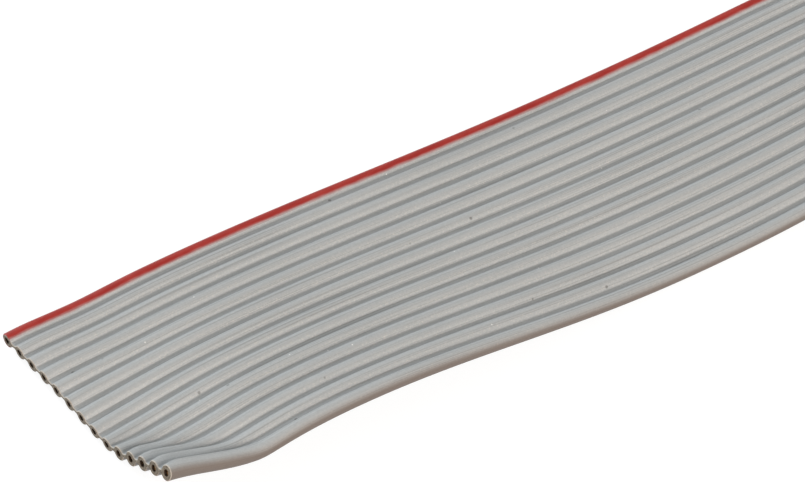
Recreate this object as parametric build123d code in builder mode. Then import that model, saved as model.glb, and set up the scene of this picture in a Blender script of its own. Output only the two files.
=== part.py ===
from build123d import *
import os
from math import cos, exp, hypot, pi, radians, sin, sqrt

# Driving dimensions of the flat cable, in millimetres
CABLE_LENGTH = 120.0
CORE_COUNT = 14
CORE_PITCH = 1.27
CORE_DIAMETER = 0.90
WEB_THICKNESS = 0.30

# Stranded conductor in each core: six strands laid round a seventh
STRAND_DIAMETER = 0.127
OUTER_STRANDS = 6
CONDUCTOR_CLEARANCE = 0.01

# Red marking skin round the outside of the first core, past its top and bottom
STRIPE_THICKNESS = 0.08
STRIPE_ARC_DEGREES = 230.0
STRIPE_CLEARANCE = 0.01

# Low waves that the cable keeps from its reel, higher at the near edge than at the marked one
WAVE_LENGTH = 53.0
FIRST_CREST = 12.2
CREST_SKEW = -1.3
MARKED_EDGE_AMPLITUDE = 0.36
NEAR_EDGE_AMPLITUDE = 1.16
CROWN_HEIGHT = 0.26

# The waves hold their height at first, then die out before the flat end
FLAT_END_LENGTH = 34.0
WAVE_HOLD = 4

# Corner of the cut end, bent up along a slanting line that crosses the last cores
BENT_CORES = 5
BEND_LENGTH = 6.5
BEND_SLOPE = 0.39
BEND_SOFTNESS = 0.4

# Shallow hollow at the foot of the bend, where the corner was pinched
HOLLOW_DEPTH = 0.55
HOLLOW_LENGTH = 4.7
HOLLOW_WIDTH = 4.7

# Values worked out from the sizes above
core_radius = CORE_DIAMETER / 2
web_reach = sqrt(core_radius**2 - (WEB_THICKNESS / 2) ** 2)
cable_width = CORE_PITCH * CORE_COUNT
waves_end = CABLE_LENGTH - FLAT_END_LENGTH
conductor_radius = STRAND_DIAMETER * 3 / 2
bore_radius = conductor_radius + CONDUCTOR_CLEARANCE / cos(pi / OUTER_STRANDS)
seat_radius = core_radius - STRIPE_THICKNESS - STRIPE_CLEARANCE
seat_half_arc = radians(STRIPE_ARC_DEGREES / 2)
stripe_half_arc = seat_half_arc - STRIPE_CLEARANCE / core_radius
stripe_radii = (core_radius, core_radius - STRIPE_THICKNESS)


def station_list():
    """Distances from the cut end at which the section of the cable is drawn."""
    quarter = WAVE_LENGTH / 4
    slopes = [FIRST_CREST + quarter / 2]
    while slopes[-1] + quarter < waves_end - 2 * quarter:
        slopes.append(slopes[-1] + quarter)
    return [0, BEND_LENGTH, *slopes, waves_end, CABLE_LENGTH]


def core_across(core):
    """Place of a core across the flattened cable, from its middle."""
    return (CORE_COUNT / 2 - 0.5 - core) * CORE_PITCH


def wave_lift(across, along):
    """Height of the low waves, with the middle of the cable a little above its edges."""
    share = 0.5 - across / cable_width
    growth = NEAR_EDGE_AMPLITUDE - MARKED_EDGE_AMPLITUDE
    amplitude = MARKED_EDGE_AMPLITUDE + growth * share**2
    crest = FIRST_CREST + CREST_SKEW * (share - 0.5)
    wave = amplitude * (1 + cos(2 * pi * (along - crest) / WAVE_LENGTH))
    crown = CROWN_HEIGHT * (1 - (2 * share - 1) ** 2)
    return (wave + crown) * (1 - (along / waves_end) ** WAVE_HOLD)


def bend_lift(across, along):
    """Rise of the bent corner, less the hollow at its foot."""
    bend_width = BENT_CORES * CORE_PITCH
    bend_start = bend_width - cable_width / 2
    past = (bend_start - across) * BEND_LENGTH - along * bend_width
    past = past / hypot(BEND_LENGTH, bend_width)
    rise = BEND_SLOPE * (hypot(past, BEND_SOFTNESS) + past) / 2
    hollow = exp(-((along / HOLLOW_LENGTH) ** 2))
    hollow = hollow * exp(-(((across - bend_start) / HOLLOW_WIDTH) ** 2))
    return rise - HOLLOW_DEPTH * hollow


def core_height(core, along):
    """Height of a core's middle above the surface that the cable lies on."""
    if along >= waves_end:
        return core_radius
    across = core_across(core)
    return core_radius + wave_lift(across, along) + bend_lift(across, along)


def core_centres(along):
    """Middles of the cores in the section at a station, a pitch apart along its curve."""
    heights = [core_height(core, along) for core in range(CORE_COUNT)]
    across = [0.0]
    for height, next_height in zip(heights, heights[1:]):
        across.append(across[-1] - sqrt(CORE_PITCH**2 - (next_height - height) ** 2))
    last_half = CORE_COUNT // 2
    middle = (across[last_half - 1] + across[last_half]) / 2
    return [Vector(y - middle, z) for y, z in zip(across, heights)]


def section_plane(along):
    """Upright plane across the cable, with Y to the marked edge and Z up."""
    return Plane.YZ.offset(along - CABLE_LENGTH / 2)


def section_frame(centres, core):
    """Directions along the section's curve and up from it, between a core and the next."""
    along_curve = (centres[core + 1] - centres[core]).normalized()
    return along_curve, Vector(along_curve.Y, -along_curve.X)


def web_corner(centre, along_curve, upward):
    """Point where a face of a web meets a round core."""
    return centre + along_curve * web_reach + upward * (WEB_THICKNESS / 2)


def middle_core_faces(centres, side):
    """Round faces of the middle cores and the webs after them, above (1) or below (-1)."""
    for core in range(1, CORE_COUNT - 1):
        before, before_up = section_frame(centres, core - 1)
        after, after_up = section_frame(centres, core)
        start = web_corner(centres[core], before * -1, before_up * side)
        end = web_corner(centres[core], after, after_up * side)
        crown = (before_up + after_up).normalized() * side
        ThreePointArc(start, centres[core] + crown * core_radius, end)
        Line(end, web_corner(centres[core + 1], after * -1, after_up * side))


def arc_edge(centres, half_arc, side):
    """Direction from the first core's middle to an end of an arc round its outside."""
    inward, up = section_frame(centres, 0)
    return up * (side * sin(half_arc)) - inward * cos(half_arc)


def marked_core_faces(centres):
    """First core, with a seat for the marking skin round its outside."""
    centre = centres[0]
    inward, up = section_frame(centres, 0)
    for side in (1, -1):
        edge = arc_edge(centres, seat_half_arc, side)
        corner = web_corner(centre, inward, up * side)
        slant = (edge * core_radius + corner - centre).normalized()
        rim = centre + edge * core_radius
        Line(centre + edge * seat_radius, rim)
        ThreePointArc(rim, centre + slant * core_radius, corner)
        Line(corner, web_corner(centres[1], inward * -1, up * side))
    ThreePointArc(
        centre + arc_edge(centres, seat_half_arc, 1) * seat_radius,
        centre - inward * seat_radius,
        centre + arc_edge(centres, seat_half_arc, -1) * seat_radius,
    )


def last_core_faces(centres):
    """Last core, round its free side."""
    centre = centres[-1]
    outward, up = section_frame(centres, CORE_COUNT - 2)
    for side in (1, -1):
        corner = web_corner(centre, outward * -1, up * side)
        crown = centre + up * (side * core_radius)
        ThreePointArc(corner, crown, centre + outward * core_radius)


def six_sided_run(core, radius):
    """Six-sided body along the middle of a core, from end to end of the cable."""
    with BuildPart() as run:
        for station in stations:
            with BuildSketch(section_plane(station)):
                with Locations(core_centres(station)[core]):
                    RegularPolygon(radius, OUTER_STRANDS)
        loft(ruled=True)
    return run.part


os.makedirs("parts", exist_ok=True)
stations = station_list()

# Grey insulation: cores and webs extruded in one piece, with a bore along each core
bores = [six_sided_run(core, bore_radius) for core in range(CORE_COUNT)]
with BuildPart() as insulation:
    for station in stations:
        centres = core_centres(station)
        with BuildSketch(section_plane(station)):
            with BuildLine():
                marked_core_faces(centres)
                middle_core_faces(centres, 1)
                middle_core_faces(centres, -1)
                last_core_faces(centres)
            make_face()
    loft(ruled=True)
    add(bores, mode=Mode.SUBTRACT)

insulation.part.label = "insulation"
export_step(insulation.part, "parts/insulation.step")

# Red marking skin, flush with the outside of the first core
with BuildPart() as red_stripe:
    for station in stations:
        centres = core_centres(station)
        centre = centres[0]
        inward, up = section_frame(centres, 0)
        rim = [arc_edge(centres, stripe_half_arc, side) for side in (1, -1)]
        with BuildSketch(section_plane(station)):
            with BuildLine():
                for radius in stripe_radii:
                    top, bottom = (centre + edge * radius for edge in rim)
                    ThreePointArc(top, centre - inward * radius, bottom)
                for edge in rim:
                    Line(centre + edge * stripe_radii[0], centre + edge * stripe_radii[1])
            make_face()
    loft(ruled=True)

red_stripe.part.label = "red_stripe"
export_step(red_stripe.part, "parts/red_stripe.step")

# Copper conductors, each with the six-sided outline of its bundle of strands
for core in range(CORE_COUNT):
    with BuildPart() as conductor:
        add(six_sided_run(core, conductor_radius))
    name = f"conductor_{core + 1:02d}"
    conductor.part.label = name
    export_step(conductor.part, f"parts/{name}.step")
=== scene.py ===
import math

import bpy
import numpy as np
from mathutils import Matrix, Vector


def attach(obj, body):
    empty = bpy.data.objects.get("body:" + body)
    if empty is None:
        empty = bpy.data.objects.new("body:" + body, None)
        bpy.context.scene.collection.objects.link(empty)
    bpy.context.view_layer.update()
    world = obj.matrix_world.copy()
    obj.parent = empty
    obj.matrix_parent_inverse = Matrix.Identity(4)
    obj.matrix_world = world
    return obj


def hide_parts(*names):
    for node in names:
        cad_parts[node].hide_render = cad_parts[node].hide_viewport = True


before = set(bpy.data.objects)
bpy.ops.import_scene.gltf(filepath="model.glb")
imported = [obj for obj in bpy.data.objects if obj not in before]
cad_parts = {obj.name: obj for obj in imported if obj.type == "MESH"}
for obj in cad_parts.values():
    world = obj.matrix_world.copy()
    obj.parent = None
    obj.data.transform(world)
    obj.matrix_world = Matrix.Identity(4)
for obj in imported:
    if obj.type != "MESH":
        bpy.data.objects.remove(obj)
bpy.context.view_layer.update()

MM = 0.001

# Flat cable, in millimetres: the CAD source's sizes, but with fillets, and a thinner web and marking skin
CABLE_LENGTH = 120.0
CORE_COUNT = 14
CORE_PITCH = 1.27
CORE_RADIUS = 0.45
CABLE_WIDTH = CORE_PITCH * CORE_COUNT
WEB_HALF = 0.125
FILLET = 0.12
BORE_RADIUS = 0.21
MARK_DEPTH = 0.05
MARK_HALF_ARC = math.radians(152)

# Conductor in each core: outer strands laid round a straight one, ending a little inside the cut faces.
# Each keeps a share of its radius, so that strands side by side don't touch
STRAND_RADIUS = 0.0635
STRAND_FIT = 0.985
OUTER_STRANDS = 6
STRAND_LAY = 12.0
STRAND_RECESS = 0.12
RECESS_SPREAD = 0.03
FIRST_SEED = 40

# Sheared cut end, core by core from the marked edge: share of its height that the upper half is pressed
# down by, slope of the leaning face, share of the flattening beside the bent corner, and its length
CUT_PRESS = [0.1] + [0.12] * 8 + [0.08] + [0.05] * 4
CUT_LEAN = [-0.06] + [-0.1] * 8 + [0.0, 0.08, 0.1, 0.15, 0.3]
FLATTENED = [0.0] * 9 + [0.35, 0.85, 0.9, 0.9, 0.9]
FLAT_REACH = [1.0] * 9 + [1.4, 2.2, 3.0, 4.4, 5.6]

# Bevel of the cut faces, and how far along the cable the blade's marks reach. Pressing and flattening
# set in at a height over a core's middle and are full a rise above it. A leaning face keeps its place at
# the pivot, a share of the core's radius above or below the middle
CUT_BEVEL = 0.042
PRESS_REACH = 0.9
PRESS_FROM, PRESS_RISE = -0.12, 0.3
LEAN_REACH = 1.2
LEAN_PIVOT = 0.6
FLAT_START = 0.35
FLAT_FROM, FLAT_RISE = 0.05, 0.1

# Low waves that die out towards the far end, higher at the near edge than at the marked one
WAVE_LENGTH = 53.0
FIRST_CREST = 12.22
CREST_SKEW = -1.33
MARKED_AMPLITUDE = 0.358
NEAR_AMPLITUDE = 1.158
CROWN_HEIGHT = 0.17
WAVE_POWER = 1.18
HOLD_END = 54.0
WAVES_END = 92.0

# Corner of the cut end, bent up along a slanting line, and the hollow at its foot
BEND_START = -2.2
BEND_LENGTH = 6.5
BEND_SLOPE = 0.41
BEND_SOFTNESS = 0.4
HOLLOW_DEPTH = 0.548
HOLLOW_LENGTH = 4.63
HOLLOW_WIDTH = 4.74
HOLLOW_MIDDLE = -2.51

# Both edges sag a little behind the cut end. Shares of the width count from the marked edge
SAG_PLACE, SAG_REACH = 4.5, 2.9
MARKED_SAG, NEAR_SAG = 0.18, 0.32
MARKED_SAG_END, NEAR_SAG_START = 0.5, 0.55

# Places along the cable, from the cut end, of the control points of its middle line
ROUTE_PLACES = [
    0, 2, 4, 7, 11, 15, 19.5, 25, 30, 34.5, 38.8, 43.5, 48.5, 54, 59, 63.5, 68, 73.5, 79, 85, 93,
    CABLE_LENGTH,
]

# Distances between drawn sections, where they grow, and the run before the far end that has none
FINE_STEP, FINE_END = 0.4, 12
MIDDLE_STEP, MIDDLE_END = 0.95, 60
COARSE_STEP = 1.3
LAST_RUN = 1.0

# Steps in the round stretches of a section
ARC_STEPS = 12
MARK_STEPS = 10
MARK_SKIN_STEPS = 26
UNMARKED_STEPS = 4
FILLET_STEPS = 3
BORE_SIDES = 12
STRAND_SIDES = 8

# Places of the insulation's materials on its mesh
SKIN, RIM, CUT_FACE, BORE_WALL = range(4)


def smooth_step(value):
    t = np.clip(value, 0, 1)
    return t * t * (3 - 2 * t)


def wave_lift(share, along):
    """Height of the low waves, with the middle of the cable a little above its edges."""
    amplitude = MARKED_AMPLITUDE + (NEAR_AMPLITUDE - MARKED_AMPLITUDE) * share**2
    crest = FIRST_CREST + CREST_SKEW * (share - 0.5)
    wave = 2 * amplitude * ((1 + np.cos(2 * np.pi * (along - crest) / WAVE_LENGTH)) / 2) ** WAVE_POWER
    crown = CROWN_HEIGHT * (1 - (2 * share - 1) ** 2)
    hold = 1 - smooth_step((along - HOLD_END) / (WAVES_END - HOLD_END))
    return (wave + crown) * hold


def bend_lift(across, along):
    """Rise of the bent corner, less the hollow at its foot."""
    reach = CABLE_WIDTH / 2 + BEND_START
    past = ((BEND_START - across) * BEND_LENGTH - along * reach) / math.hypot(BEND_LENGTH, reach)
    rise = BEND_SLOPE * (np.hypot(past, BEND_SOFTNESS) + past) / 2
    hollow = np.exp(-((along / HOLLOW_LENGTH) ** 2))
    hollow = hollow * np.exp(-(((across - HOLLOW_MIDDLE) / HOLLOW_WIDTH) ** 2))
    return rise - HOLLOW_DEPTH * hollow


def edge_sag(share, along):
    """How far the two edges sag behind the cut end."""
    sag = MARKED_SAG * np.maximum(0, 1 - share / MARKED_SAG_END)
    sag = sag + NEAR_SAG * np.maximum(0, (share - NEAR_SAG_START) / (1 - NEAR_SAG_START))
    return sag * np.exp(-(((along - SAG_PLACE) / SAG_REACH) ** 2))


def lift(across, along):
    """Height of the cable's middle surface over its lowest lie.

    Across is from the cable's middle towards the marked edge, and along is from the cut end."""
    share = 0.5 - across / CABLE_WIDTH
    return wave_lift(share, along) + bend_lift(across, along) - edge_sag(share, along)


def route_points():
    """Points of the cable's smooth middle line, in metres, read from its NURBS spline.

    Its control points lie at the route's places, at the height that the waves and the bend give there."""
    places = np.array(ROUTE_PLACES, dtype=float)
    heights = lift(np.zeros_like(places), places) + CORE_RADIUS
    curve = bpy.data.curves.new("route", "CURVE")
    curve.dimensions = "3D"
    curve.resolution_u = 16
    spline = curve.splines.new("NURBS")
    spline.points.add(len(places) - 1)
    for point, place, height in zip(spline.points, places, heights):
        point.co = ((place - CABLE_LENGTH / 2) * MM, 0, height * MM, 1)
    spline.order_u = 3
    spline.use_endpoint_u = True
    holder = bpy.data.objects.new("route", curve)
    bpy.context.scene.collection.objects.link(holder)
    bpy.context.view_layer.update()
    mesh = bpy.data.meshes.new_from_object(holder)
    points = np.array([tuple(v.co) for v in mesh.vertices])
    bpy.data.objects.remove(holder)
    bpy.data.curves.remove(curve)
    bpy.data.meshes.remove(mesh)
    return points


PATH = route_points()


def path_height(along):
    """Height of the middle line, in millimetres, at distances from the cut end."""
    return np.interp(along, PATH[:, 0] / MM + CABLE_LENGTH / 2, PATH[:, 2] / MM)


def core_lines(along):
    """Middles of the cores at each station: (stations, cores, 2), across to the near edge, and up."""
    across = (CORE_COUNT / 2 - 0.5 - np.arange(CORE_COUNT)) * CORE_PITCH
    grid_along, grid_across = np.meshgrid(along, across, indexing="ij")
    middle = lift(np.zeros_like(along), along)
    heights = lift(grid_across, grid_along) + (path_height(along) - middle)[:, None]
    heights = np.maximum(heights, CORE_RADIUS)
    steps = np.sqrt(CORE_PITCH**2 - np.diff(heights, axis=1) ** 2)
    places = np.concatenate([np.zeros((len(along), 1)), np.cumsum(steps, axis=1)], axis=1)
    half = CORE_COUNT // 2
    places = places - (places[:, half - 1] + places[:, half])[:, None] / 2
    return np.stack([places, heights], axis=2)


def stations(first):
    """Distances from the cut end at which sections are drawn, closer together near it."""
    return np.concatenate([
        np.arange(first, FINE_END, FINE_STEP),
        np.arange(FINE_END, MIDDLE_END, MIDDLE_STEP),
        np.arange(MIDDLE_END, CABLE_LENGTH - LAST_RUN, COARSE_STEP),
    ])


# Drawn sections: distances from the cut end, middles of the cores, and how far the bevel draws them in
ALONG = np.concatenate([
    [0.0, CUT_BEVEL], stations(FINE_STEP), [CABLE_LENGTH - CUT_BEVEL, CABLE_LENGTH],
])
LINES = core_lines(ALONG)
INSET = np.zeros(len(ALONG))
INSET[[0, -1]] = CUT_BEVEL

# One core's outline: where the round flank meets the fillet to the web
FLANK = math.asin((WEB_HALF + FILLET) / (CORE_RADIUS + FILLET))
FILLET_REACH = math.sqrt((CORE_RADIUS + FILLET) ** 2 - (WEB_HALF + FILLET) ** 2)

# Slope of the web before and after each core, at each station
webs = np.diff(LINES, axis=1)
web_angles = np.arctan2(webs[:, :, 1], webs[:, :, 0])
SLOPES = np.concatenate([web_angles[:, :1], web_angles, web_angles[:, -1:]], axis=1)


def polar(radius, angle):
    return np.stack([radius * np.cos(angle), radius * np.sin(angle)], axis=-1)


def turned(x, y, angle):
    c, s = np.cos(angle), np.sin(angle)
    return np.stack([x * c - y * s, x * s + y * c], axis=-1)


def ring_of_angles(sides):
    return np.arange(sides) * 2 * math.pi / sides


def fillet_point(core, side, end, t):
    """Point of the fillet after (end 1) or before (end -1) a core, at each station."""
    radius = FILLET + INSET
    x = end * (FILLET_REACH - radius * math.sin(t))
    y = side * (WEB_HALF + FILLET - radius * math.cos(t))
    return LINES[:, core] + turned(x, y, SLOPES[:, core + (end + 1) // 2])


def arc_points(core, side, first, last, steps, depth=0.0):
    """Points of a core's round face from one angle to another, measured from the near side."""
    left, right = SLOPES[:, core], SLOPES[:, core + 1]
    rows = []
    for share in np.linspace(0, 1, steps + 1):
        angle = first + (last - first) * share
        lean = left + (right - left) * (1 - angle / math.pi)
        rows.append(LINES[:, core] + polar(CORE_RADIUS - depth - INSET, side * angle + lean))
    return rows


def core_side(core, side):
    """Upper (side 1) or lower (side -1) face of a core with its fillets, from the marked side on."""
    turns = [(math.pi / 2 - FLANK) * k / FILLET_STEPS for k in range(FILLET_STEPS)]
    last_core = core == CORE_COUNT - 1
    if core == 0:
        edge = math.pi - MARK_HALF_ARC
        rows = arc_points(core, side, math.pi, edge, MARK_STEPS, MARK_DEPTH)
        rows += arc_points(core, side, edge, FLANK, UNMARKED_STEPS)
    else:
        rows = [fillet_point(core, side, -1, t) for t in turns]
        rows += arc_points(core, side, math.pi - FLANK, 0 if last_core else FLANK, ARC_STEPS)
    if not last_core:
        rows += [fillet_point(core, side, 1, t) for t in turns[::-1]]
    return rows


def side_rows(side):
    """Points along one side of the insulation, the core of each, and the places of each core's points."""
    rows, owners, parts = [], [], []
    for core in range(CORE_COUNT):
        part = core_side(core, side)
        parts.append(range(len(rows), len(rows) + len(part)))
        rows += part
        owners += [core] * len(part)
    return rows, owners, parts


def to_space(points, cores, along=ALONG, middles=LINES):
    """Section points (across towards the near edge, and up) in the part's frame, in metres.

    Near the cut end the upper half of each core is pressed down, the grooves beside the bent corner
    are flattened and the faces lean, as the blade left them."""
    x = np.broadcast_to(along[:, None], points.shape[:2])
    base_across, base = (middles[:, cores, axis].reshape(len(along), -1) for axis in (0, 1))
    rise = points[..., 1] - base
    press = np.array(CUT_PRESS)[cores] * np.exp(-((x / PRESS_REACH) ** 2))
    rise = rise * (1 - press * smooth_step((rise - PRESS_FROM) / PRESS_RISE))
    reach = np.array(FLAT_REACH)[cores]
    flat = np.exp(-((x / reach) ** 4)) - np.exp(-((x / FLAT_START) ** 2))
    flat = flat * np.array(FLATTENED)[cores]
    free_side = (np.array(cores) == CORE_COUNT - 1) & (points[..., 0] > base_across)
    flat = np.where(free_side, 0, flat)
    rise = rise + flat * (CORE_RADIUS - rise) * smooth_step((rise - FLAT_FROM) / FLAT_RISE)
    lean = np.array(CUT_LEAN)[cores] * np.exp(-((x / LEAN_REACH) ** 2))
    x = x + lean * rise + np.abs(lean) * CORE_RADIUS * LEAN_PIVOT
    return (np.stack([x - CABLE_LENGTH / 2, -points[..., 0], base + rise], axis=-1) * MM).reshape(-1, 3)


def grid_uvs(along, around):
    """Texture places of a tube's points: the distance along the cable, and a measure round the tube."""
    return np.stack(np.broadcast_arrays(along[:, None], around[None, :]), axis=-1).reshape(-1, 2)


def tube_faces(rings, count, start=0, flip=False):
    """Quads round a tube of that many rings of count points each."""
    faces = []
    for ring in range(rings - 1):
        a = start + ring * count
        for i in range(count):
            j = (i + 1) % count
            quad = (a + i, a + count + i, a + count + j, a + j)
            faces.append(quad[::-1] if flip else quad)
    return faces


def make_object(name, vertices, faces, uvs, materials, face_materials=None, sharp=38):
    """Smooth mesh object, with sharp edges where its faces meet at more than that many degrees."""
    mesh = bpy.data.meshes.new(name)
    mesh.from_pydata([tuple(v) for v in vertices], [], faces)
    layer = mesh.uv_layers.new(name="run")
    loops = np.zeros(len(mesh.loops), np.int32)
    mesh.loops.foreach_get("vertex_index", loops)
    layer.data.foreach_set("uv", np.asarray(uvs, np.float32)[loops].ravel())
    for material in materials:
        mesh.materials.append(material)
    mesh.polygons.foreach_set("use_smooth", [True] * len(mesh.polygons))
    if face_materials is not None:
        mesh.polygons.foreach_set("material_index", face_materials)
    mesh.update()
    mesh.set_sharp_from_angle(angle=math.radians(sharp))
    obj = bpy.data.objects.new(name, mesh)
    bpy.context.scene.collection.objects.link(obj)
    return obj


def stitched(outer, inner, centre, places):
    """Triangles between a closed outer outline and a hole, both lists of indices in order of angle.

    Also gives the sense of the outline: 1 where its angles grow, -1 where they fall."""
    full_turn = 2 * math.pi

    def angles(loop):
        offset = places[loop] - centre
        return np.unwrap(np.arctan2(offset[:, 1], offset[:, 0]))

    turn = 1 if angles(outer)[-1] > angles(outer)[0] else -1
    if (angles(inner)[-1] - angles(inner)[0]) * turn < 0:
        inner = inner[::-1]
    outer_angles = angles(outer) * turn
    gaps = (angles(inner) * turn - outer_angles[0] + math.pi) % full_turn - math.pi
    start = int(np.argmin(np.abs(gaps)))
    inner = inner[start:] + inner[:start]
    inner_angles = angles(inner) * turn
    inner_angles = inner_angles - full_turn * round((inner_angles[0] - outer_angles[0]) / full_turn)
    outer_angles = np.append(outer_angles, outer_angles[0] + full_turn)
    inner_angles = np.append(inner_angles, inner_angles[0] + full_turn)
    a = b = 0
    faces = []
    while a < len(outer) or b < len(inner):
        if b == len(inner) or (a < len(outer) and outer_angles[a + 1] <= inner_angles[b + 1]):
            faces.append((outer[a], outer[(a + 1) % len(outer)], inner[b % len(inner)]))
            a += 1
        else:
            faces.append((outer[a % len(outer)], inner[(b + 1) % len(inner)], inner[b]))
            b += 1
    return faces, turn


def cut_face(ring, flip, top, low, holes, places):
    """Faces of one cut end: triangles between each core's outline and its bore, a quad across each web.

    top, low and holes hold the indices of each core's upper face, lower face and bore at that end."""
    faces = []
    for core in range(CORE_COUNT):
        ends = (top[core][0], top[core][-1])
        loop = top[core] + [i for i in low[core][::-1] if i not in ends]
        centre = np.array([-LINES[ring, core, 0], LINES[ring, core, 1]])
        cap, turn = stitched(loop, holes[core], centre, places)
        if (turn > 0) != flip:
            cap = [face[::-1] for face in cap]
        faces += cap
        if core:
            quad = (top[core - 1][-1], top[core][0], low[core][0], low[core - 1][-1])
            faces.append(quad if flip else quad[::-1])
    return faces


def build_insulation(materials):
    """Ribbed body with a bore along each core, closed by its two cut faces."""
    top_rows, top_owners, top_parts = side_rows(1)
    low_rows, low_owners, low_parts = side_rows(-1)

    # The two sides share their first and last points, so the lower side's drop out of the outline
    outline = np.stack(top_rows + low_rows[1:-1][::-1], axis=1)
    owners = np.array(top_owners + low_owners[1:-1][::-1])
    rings, count = outline.shape[:2]
    last_top = len(top_rows) - 1
    low_places = [0, *range(count - 1, last_top, -1), last_top]

    steps = np.linalg.norm(np.diff(outline[rings // 2], axis=0), axis=1)
    round_length = np.concatenate([[0], np.cumsum(steps)])
    vertices = [to_space(outline, owners)]
    uvs = [grid_uvs(ALONG, round_length - round_length[last_top])]
    faces = tube_faces(rings, count)
    groups = [SKIN] * len(faces)
    for i in range(count):
        groups[i] = groups[(rings - 2) * count + i] = RIM

    bore_starts = [rings * (count + BORE_SIDES * core) for core in range(CORE_COUNT)]
    ring_angles = ring_of_angles(BORE_SIDES)
    for core, start in enumerate(bore_starts):
        vertices.append(to_space(LINES[:, core, None] + polar(BORE_RADIUS, ring_angles)[None], core))
        uvs.append(grid_uvs(ALONG, ring_angles * BORE_RADIUS))
        bore = tube_faces(rings, BORE_SIDES, start, flip=True)
        faces += bore
        groups += [BORE_WALL] * len(bore)

    places = np.concatenate(vertices)[:, 1:] / MM
    for ring, flip in ((0, False), (rings - 1, True)):
        top = [[ring * count + i for i in part] for part in top_parts]
        low = [[ring * count + low_places[i] for i in part] for part in low_parts]
        holes = [[start + ring * BORE_SIDES + i for i in range(BORE_SIDES)] for start in bore_starts]
        cap = cut_face(ring, flip, top, low, holes, places)
        faces += cap
        groups += [CUT_FACE] * len(cap)
    vertices, uvs = np.concatenate(vertices), np.concatenate(uvs)
    return make_object("insulation_skin", vertices, faces, uvs, materials, groups, sharp=28)


def build_stripe(material):
    """Red skin round the outside of the first core, flush in its seat."""
    angles = math.pi + np.linspace(-MARK_HALF_ARC, MARK_HALF_ARC, MARK_SKIN_STEPS + 1)
    seat_radius = np.full(len(ALONG), CORE_RADIUS - MARK_DEPTH)
    outer = [LINES[:, 0] + polar(CORE_RADIUS - INSET, a + SLOPES[:, 0]) for a in angles]
    inner = [LINES[:, 0] + polar(seat_radius, a + SLOPES[:, 0]) for a in angles[::-1]]
    outline = np.stack(outer + inner, axis=1)
    rings, count = outline.shape[:2]
    shares = np.linspace(-1, 1, MARK_SKIN_STEPS + 1)
    uvs = grid_uvs(ALONG, np.concatenate([shares, shares[::-1]]))
    faces = tube_faces(rings, count, flip=True)
    for base, flip in ((0, True), ((rings - 1) * count, False)):
        for i in range(MARK_SKIN_STEPS):
            quad = (base + i, base + i + 1, base + count - 2 - i, base + count - 1 - i)
            faces.append(quad[::-1] if flip else quad)
    return make_object("marking_skin", to_space(outline, 0), faces, uvs, [material])


def build_strands(core, material):
    """Strands of one core's conductor: the outer ones laid in a helix round a straight one."""
    along = np.concatenate([stations(0), [CABLE_LENGTH]])
    middles = core_lines(along)
    ring_angles = ring_of_angles(STRAND_SIDES)
    draw = np.random.default_rng(FIRST_SEED + core)
    phase = draw.uniform(0, 2 * math.pi)
    vertices, uvs, faces = [], [], []
    start = 0
    for strand in range(OUTER_STRANDS + 1):
        reach = 2 * STRAND_RADIUS if strand < OUTER_STRANDS else 0.0
        turn = phase + strand * 2 * math.pi / OUTER_STRANDS + 2 * math.pi * along / STRAND_LAY
        middle = middles[:, core] + polar(reach, turn)
        points = middle[:, None] + polar(STRAND_RADIUS * STRAND_FIT, ring_angles)[None]
        ends = along.copy()
        ends[0] = STRAND_RECESS + draw.uniform(-RECESS_SPREAD, RECESS_SPREAD)
        ends[-1] = CABLE_LENGTH - STRAND_RECESS + draw.uniform(-RECESS_SPREAD, RECESS_SPREAD)
        vertices.append(to_space(points, core, ends, middles))
        uvs.append(grid_uvs(along, ring_angles))
        faces += tube_faces(len(along), STRAND_SIDES, start, flip=True)
        faces.append(tuple(range(start, start + STRAND_SIDES)))
        last = start + (len(along) - 1) * STRAND_SIDES
        faces.append(tuple(range(last, last + STRAND_SIDES))[::-1])
        start += len(along) * STRAND_SIDES
    name = f"strands_{core + 1:02d}"
    return make_object(name, np.concatenate(vertices), faces, np.concatenate(uvs), [material])


# Colours of the materials, in linear values
GREY, GREY_LIGHT = (0.411, 0.417, 0.418), (0.457, 0.463, 0.464)
SCRATCHED = (0.16, 0.15, 0.14)
# Painted highlight: pale sparkle on the flanks that face the near edge
PAINTED_FLANK_GLINT = (0.63, 0.59, 0.54)
# Dark specks, and pale specks that are painted glints
DARK_SPECK, PAINTED_GLINT = (0.10, 0.095, 0.085), (0.9, 0.88, 0.84)
# Painted shade for the outside of the last core
PAINTED_SHADE = (0.15, 0.112, 0.09)
RED, RED_LIGHT = (0.34, 0.014, 0.008), (0.41, 0.032, 0.022)
# Painted light at the cut ends: a painted highlight on the pale bevelled rims, painted shade on the cut
# faces and in the bores
RIM_HIGHLIGHT_TONES = (0.50, 0.44, 0.38), (0.60, 0.54, 0.47)
CUT_FACE_SHADE_TONES = (0.15, 0.12, 0.085), (0.30, 0.25, 0.19)
BORE_SHADE_TONES = (0.045, 0.028, 0.016), (0.09, 0.055, 0.03)
COPPER, TARNISHED = (0.38, 0.21, 0.09), (0.08, 0.045, 0.02)

# Reliefs: their strength, and their depths in metres
BUMP_STRENGTH = 0.7
SKIN_RELIEF = 0.000009
CUT_RELIEF = 0.00003

# Stray dark specks, and pale specks that are painted glints: scale of the pattern of cells, size of a spot
# in metres, and share of the cells with one
DARK_SPECKS = {"scale": 700, "size": 0.00013, "share": 0.25, "strength": 0.62}
PAINTED_GLINTS = {"scale": 900, "size": 0.00006, "share": 0.25, "strength": 0.8}

# Painted shade: brown darkening painted round the outside of the last core, in millimetres round it from
# its
# outermost line, less than 0 above it: where it is gone and where it is full, above the line and below it
PAINTED_SHADE_ABOVE = -0.52, -0.02
PAINTED_SHADE_BELOW = 0.8, 0.5
PAINTED_SHADE_STRENGTH = 0.88


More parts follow.
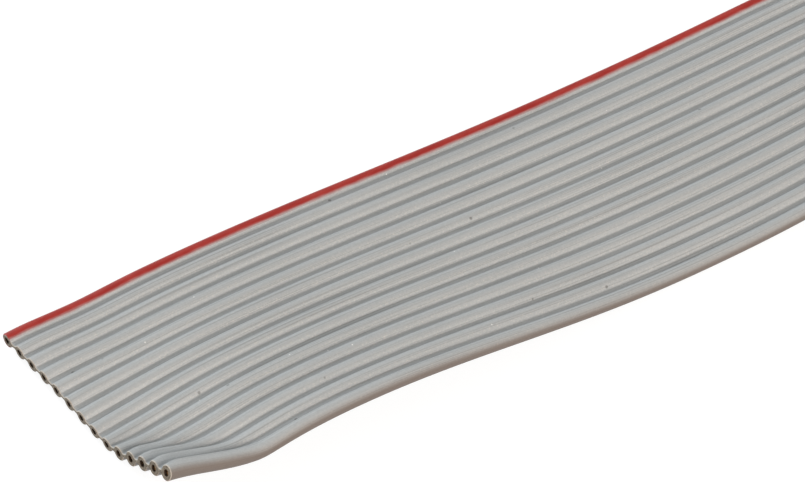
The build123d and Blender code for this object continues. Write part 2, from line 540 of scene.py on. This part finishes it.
class Nodes:
    """Short ways to add and join the nodes of one material."""

    def __init__(self, name):
        self.material = bpy.data.materials.new(name)
        self.material.use_nodes = True
        self.tree = self.material.node_tree
        self.shader = self.tree.nodes["Principled BSDF"]

    def add(self, kind, inputs=None, **settings):
        """New node with those settings and inputs, each input a value or another node's output."""
        node = self.tree.nodes.new(kind)
        for key, value in settings.items():
            setattr(node, key, value)
        for key, value in (inputs or {}).items():
            self.put(value, node.inputs[key])
        return node

    def put(self, value, socket):
        """Gives a socket its value, or joins another node's output to it."""
        if isinstance(value, bpy.types.NodeSocket):
            self.tree.links.new(value, socket)
        else:
            socket.default_value = value

    def math(self, operation, a, b=0.0):
        return self.add("ShaderNodeMath", {0: a, 1: b}, operation=operation).outputs[0]

    def remap(self, value, low, high, out_low=0.0, out_high=1.0):
        """Smooth change from out_low to out_high as the value goes from low to high."""
        inputs = {"Value": value, "From Min": low, "From Max": high, "To Min": out_low, "To Max": out_high}
        return self.add("ShaderNodeMapRange", inputs, interpolation_type="SMOOTHSTEP").outputs[0]

    def mix(self, share, a, b):
        """Colour a, turned into colour b by that share."""
        node = self.add("ShaderNodeMix", data_type="RGBA")
        self.put(share, node.inputs[0])
        for value, socket in ((a, node.inputs[6]), (b, node.inputs[7])):
            self.put(value if isinstance(value, bpy.types.NodeSocket) else (*value, 1), socket)
        return node.outputs[2]

    def noise(self, vector, scale, detail=2.0, roughness=0.5):
        inputs = {"Vector": vector, "Scale": scale, "Detail": detail, "Roughness": roughness}
        return self.add("ShaderNodeTexNoise", inputs).outputs[0]

    def stretched(self, vector, scale):
        return self.add("ShaderNodeMapping", {"Vector": vector, "Scale": scale}).outputs[0]

    def specks(self, vector, scale, size, share, strength):
        """Small round spots of that size in a share of the cells of a coarse pattern."""
        cells = self.add("ShaderNodeTexVoronoi", {"Vector": vector, "Scale": scale, "Randomness": 1.0})
        pick = self.add("ShaderNodeSeparateColor", {"Color": cells.outputs["Color"]})
        spot = self.remap(cells.outputs["Distance"], size * scale, 0.5 * size * scale)
        chosen = self.math("LESS_THAN", pick.outputs[0], share)
        return self.math("MULTIPLY", self.math("MULTIPLY", spot, chosen), strength)

    def place(self):
        """Place on the object, in metres."""
        return self.add("ShaderNodeTexCoord").outputs["Object"]

    def run(self):
        """Distance along the cable in millimetres, and the measure round the piece."""
        return self.add("ShaderNodeUVMap", uv_map="run").outputs[0]

    def bump(self, height, distance):
        inputs = {"Height": height, "Distance": distance, "Strength": BUMP_STRENGTH}
        return self.add("ShaderNodeBump", inputs).outputs[0]

    def finish(self, colour, normal=None, **values):
        """Gives the shader its colour, its relief and its other values."""
        self.put(colour, self.shader.inputs["Base Color"])
        if normal is not None:
            self.put(normal, self.shader.inputs["Normal"])
        for name, value in values.items():
            self.shader.inputs[name].default_value = value
        return self.material


def grey_skin(nodes, run):
    """Colour and relief of the extruded grey skin: tone drift, drawing lines, grain, a painted sparkle on
    the near flanks, dark specks and painted glints.
    """
    place = nodes.place()
    drift = nodes.noise(place, scale=90)
    lines = nodes.noise(nodes.stretched(run, (0.03, 9.0, 1)), scale=1.0, detail=3, roughness=0.65)
    grain = nodes.noise(place, scale=9000)
    tone = nodes.remap(drift, 0.3, 0.7, -0.25, 0.25)
    tone = nodes.math("ADD", tone, nodes.remap(lines, 0.25, 0.75, -0.1, 0.9))
    tone = nodes.math("ADD", tone, nodes.remap(grain, 0.3, 0.7, -0.4, 0.5))
    colour = nodes.mix(tone, GREY, GREY_LIGHT)

    scratch = nodes.noise(nodes.stretched(run, (0.045, 16.0, 1)), scale=1.0, detail=1)
    colour = nodes.mix(nodes.remap(scratch, 0.58, 0.63, 0.0, 0.38), colour, SCRATCHED)

    # Painted highlight: pale sparkle painted on the flanks that face the near edge
    facing = nodes.add("ShaderNodeTexCoord").outputs["Normal"]
    facing = nodes.add("ShaderNodeSeparateXYZ", {"Vector": facing})
    flank = nodes.remap(facing.outputs[1], -0.2, -0.65)
    flank_glint = nodes.noise(nodes.stretched(place, (0.5, 1, 1)), scale=16000, roughness=0.6)
    flank_glint = nodes.math("MULTIPLY", nodes.remap(flank_glint, 0.5, 0.72, 0.0, 0.5), flank)
    colour = nodes.mix(flank_glint, colour, PAINTED_FLANK_GLINT)

    colour = nodes.mix(nodes.specks(place, **DARK_SPECKS), colour, DARK_SPECK)
    # Painted highlight: tiny pale glints scattered over the skin
    other_place = nodes.stretched(place, (1, 1.02, 0.97))
    colour = nodes.mix(nodes.specks(other_place, **PAINTED_GLINTS), colour, PAINTED_GLINT)

    relief = nodes.math("ADD", nodes.math("MULTIPLY", lines, 0.6), nodes.math("MULTIPLY", grain, 0.4))
    return colour, nodes.bump(relief, SKIN_RELIEF)


def grey_material():
    """Grey skin, with painted shade, browner and darker, round the outside of the last core."""
    nodes = Nodes("grey_pvc")
    run = nodes.run()
    colour, normal = grey_skin(nodes, run)
    # Painted shade: browner and darker round the outside of the last core
    round_edge = nodes.add("ShaderNodeSeparateXYZ", {"Vector": run}).outputs[1]
    above = nodes.remap(round_edge, *PAINTED_SHADE_ABOVE)
    below = nodes.remap(round_edge, *PAINTED_SHADE_BELOW)
    painted_shade = nodes.math("MULTIPLY", nodes.math("MULTIPLY", above, below), PAINTED_SHADE_STRENGTH)
    return nodes.finish(nodes.mix(painted_shade, colour, PAINTED_SHADE), normal, Roughness=0.5, IOR=1.53)


def red_material():
    """Red marking, solid in the middle and fading into the grey at its two edges."""
    nodes = Nodes("red_marking")
    run = nodes.run()
    grey, normal = grey_skin(nodes, run)
    mottle = nodes.noise(nodes.stretched(nodes.place(), (0.25, 1, 1)), scale=2500, detail=3, roughness=0.6)
    red = nodes.mix(nodes.remap(mottle, 0.3, 0.7), RED, RED_LIGHT)
    share = nodes.add("ShaderNodeSeparateXYZ", {"Vector": run}).outputs[1]
    edge = nodes.math("ABSOLUTE", share)
    edge = nodes.math("ADD", edge, nodes.remap(mottle, 0.3, 0.7, -0.02, 0.02))
    faded = nodes.mix(nodes.remap(edge, 0.74, 1.0), red, grey)
    return nodes.finish(faded, normal, Roughness=0.5, IOR=1.53)


def cut_material(name, tones):
    """Dull plastic of the cut end and the bores, mottled in two tones, which hold painted light: a painted
    highlight on the rim, painted shade on the cut faces and in the bores.
    """
    nodes = Nodes(name)
    mottle = nodes.noise(nodes.place(), scale=7000, detail=3, roughness=0.6)
    colour = nodes.mix(nodes.remap(mottle, 0.35, 0.65), *tones)
    return nodes.finish(colour, nodes.bump(mottle, CUT_RELIEF), Roughness=0.6)


def copper_material():
    """Bare copper, dull and tarnished in patches."""
    nodes = Nodes("copper")
    tarnish = nodes.noise(nodes.place(), scale=9000, detail=3, roughness=0.6)
    colour = nodes.mix(nodes.remap(tarnish, 0.35, 0.65), COPPER, TARNISHED)
    return nodes.finish(colour, Metallic=1.0, Roughness=0.42)


# The pieces, what each replaces, and the cord that they make
# The insulation's cut rims carry a painted highlight, and its cut faces and bores carry painted shade
insulation = build_insulation([
    grey_material(),
    cut_material("cut_rim_highlight", RIM_HIGHLIGHT_TONES),
    cut_material("cut_face", CUT_FACE_SHADE_TONES),
    cut_material("bore_wall_shade", BORE_SHADE_TONES),
])
marking = build_stripe(red_material())
copper = copper_material()
strands = [build_strands(core, copper) for core in range(CORE_COUNT)]
pieces = [(insulation, "insulation", "grey_insulation"), (marking, "red_stripe", "red_marking")]
pieces += [(piece, f"conductor_{core + 1:02d}", "copper") for core, piece in enumerate(strands)]
for piece, node, finish in pieces:
    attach(piece, "root")
    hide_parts(node)

# Camera at the photograph's angle: distances in metres, sensor and lens in millimetres
AZIMUTH, ELEVATION, ROLL = math.radians(36.97), math.radians(41.12), math.radians(1.78)
TARGET = Vector((-0.03654, 0.00298, 0.00046))
DISTANCE = 0.265
SENSOR_WIDTH = 36
LENS = 206.1
LAMP_DISTANCE = 0.7


def add_camera():
    """Camera that looks at the target, turned round its own line of sight by the roll."""
    right = Vector((math.cos(AZIMUTH), -math.sin(AZIMUTH), 0))
    forward = Vector((math.sin(AZIMUTH), math.cos(AZIMUTH), 0))
    look = forward * math.cos(ELEVATION) - Vector((0, 0, 1)) * math.sin(ELEVATION)
    up = forward * math.sin(ELEVATION) + Vector((0, 0, 1)) * math.cos(ELEVATION)
    camera_right = right * math.cos(ROLL) + up * math.sin(ROLL)
    camera_up = -right * math.sin(ROLL) + up * math.cos(ROLL)
    data = bpy.data.cameras.new("camera")
    data.sensor_width = SENSOR_WIDTH
    data.lens = LENS
    data.clip_start = 0.01
    data.clip_end = 10
    camera = bpy.data.objects.new("camera", data)
    bpy.context.scene.collection.objects.link(camera)
    basis = Matrix((camera_right, camera_up, -look)).transposed().to_4x4()
    camera.matrix_world = Matrix.Translation(TARGET - look * DISTANCE) @ basis
    bpy.context.scene.camera = camera


def add_lamp(name, azimuth, elevation, size, power, colour):
    """Soft square lamp aimed at the cable. Azimuth 0 lies towards +Y and 90 towards +X."""
    data = bpy.data.lights.new(name, "AREA")
    data.size = size
    data.energy = power
    data.color = colour
    a, e = math.radians(azimuth), math.radians(elevation)
    back = Vector((math.sin(a) * math.cos(e), math.cos(a) * math.cos(e), math.sin(e)))
    obj = bpy.data.objects.new(name, data)
    obj.location = TARGET + back * LAMP_DISTANCE
    obj.rotation_mode = "QUATERNION"
    obj.rotation_quaternion = back.to_track_quat("Z", "Y")
    bpy.context.scene.collection.objects.link(obj)


def add_floor(size):
    """Pale floor: near white to the camera and darker in the cable's shade, a warm grey to other light."""
    mesh = bpy.data.meshes.new("floor")
    half = size / 2
    corners = [(-half, -half, 0), (half, -half, 0), (half, half, 0), (-half, half, 0)]
    mesh.from_pydata(corners, [], [(0, 1, 2, 3)])
    floor = bpy.data.objects.new("floor", mesh)
    bpy.context.scene.collection.objects.link(floor)
    nodes = Nodes("white_floor")
    nodes.finish((0.34, 0.27, 0.23, 1), Roughness=0.9)
    rays = nodes.add("ShaderNodeLightPath")
    seen = nodes.math("MAXIMUM", rays.outputs["Is Camera Ray"], rays.outputs["Is Glossy Ray"])
    seen = nodes.math("MAXIMUM", seen, rays.outputs["Is Transmission Ray"])
    glow = nodes.add("ShaderNodeEmission", {"Color": (1, 1, 1, 1), "Strength": 0.86})
    shade = nodes.add("ShaderNodeBsdfDiffuse", {"Color": (0.25, 0.25, 0.25, 1)})
    shown = nodes.add("ShaderNodeAddShader", {0: glow.outputs[0], 1: shade.outputs[0]})
    inputs = {0: seen, 1: nodes.shader.outputs[0], 2: shown.outputs[0]}
    both = nodes.add("ShaderNodeMixShader", inputs)
    output = next(n for n in nodes.tree.nodes if n.type == "OUTPUT_MATERIAL")
    nodes.put(both.outputs[0], output.inputs["Surface"])
    mesh.materials.append(nodes.material)


def add_world():
    """Even soft light, white to the camera."""
    world = bpy.data.worlds.new("world")
    bpy.context.scene.world = world
    world.use_nodes = True
    nodes, links = world.node_tree.nodes, world.node_tree.links
    sky = nodes["Background"]
    sky.inputs["Color"].default_value = (1.0, 1.0, 0.99, 1)
    sky.inputs["Strength"].default_value = 0.33
    white = nodes.new("ShaderNodeBackground")
    white.inputs["Strength"].default_value = 1.0
    rays = nodes.new("ShaderNodeLightPath")
    both = nodes.new("ShaderNodeMixShader")
    output = next(n for n in nodes if n.type == "OUTPUT_WORLD")
    links.new(rays.outputs["Is Camera Ray"], both.inputs[0])
    links.new(sky.outputs[0], both.inputs[1])
    links.new(white.outputs[0], both.inputs[2])
    links.new(both.outputs[0], output.inputs["Surface"])


add_camera()
add_lamp("far_lamp", azimuth=-18, elevation=24, size=0.42, power=4.6, colour=(0.88, 0.965, 1.0))
add_lamp("near_lamp", azimuth=183, elevation=29, size=0.3, power=3.9, colour=(1.0, 0.945, 0.88))
add_floor(size=6)
add_world()
bpy.context.scene.view_settings.view_transform = "Standard"
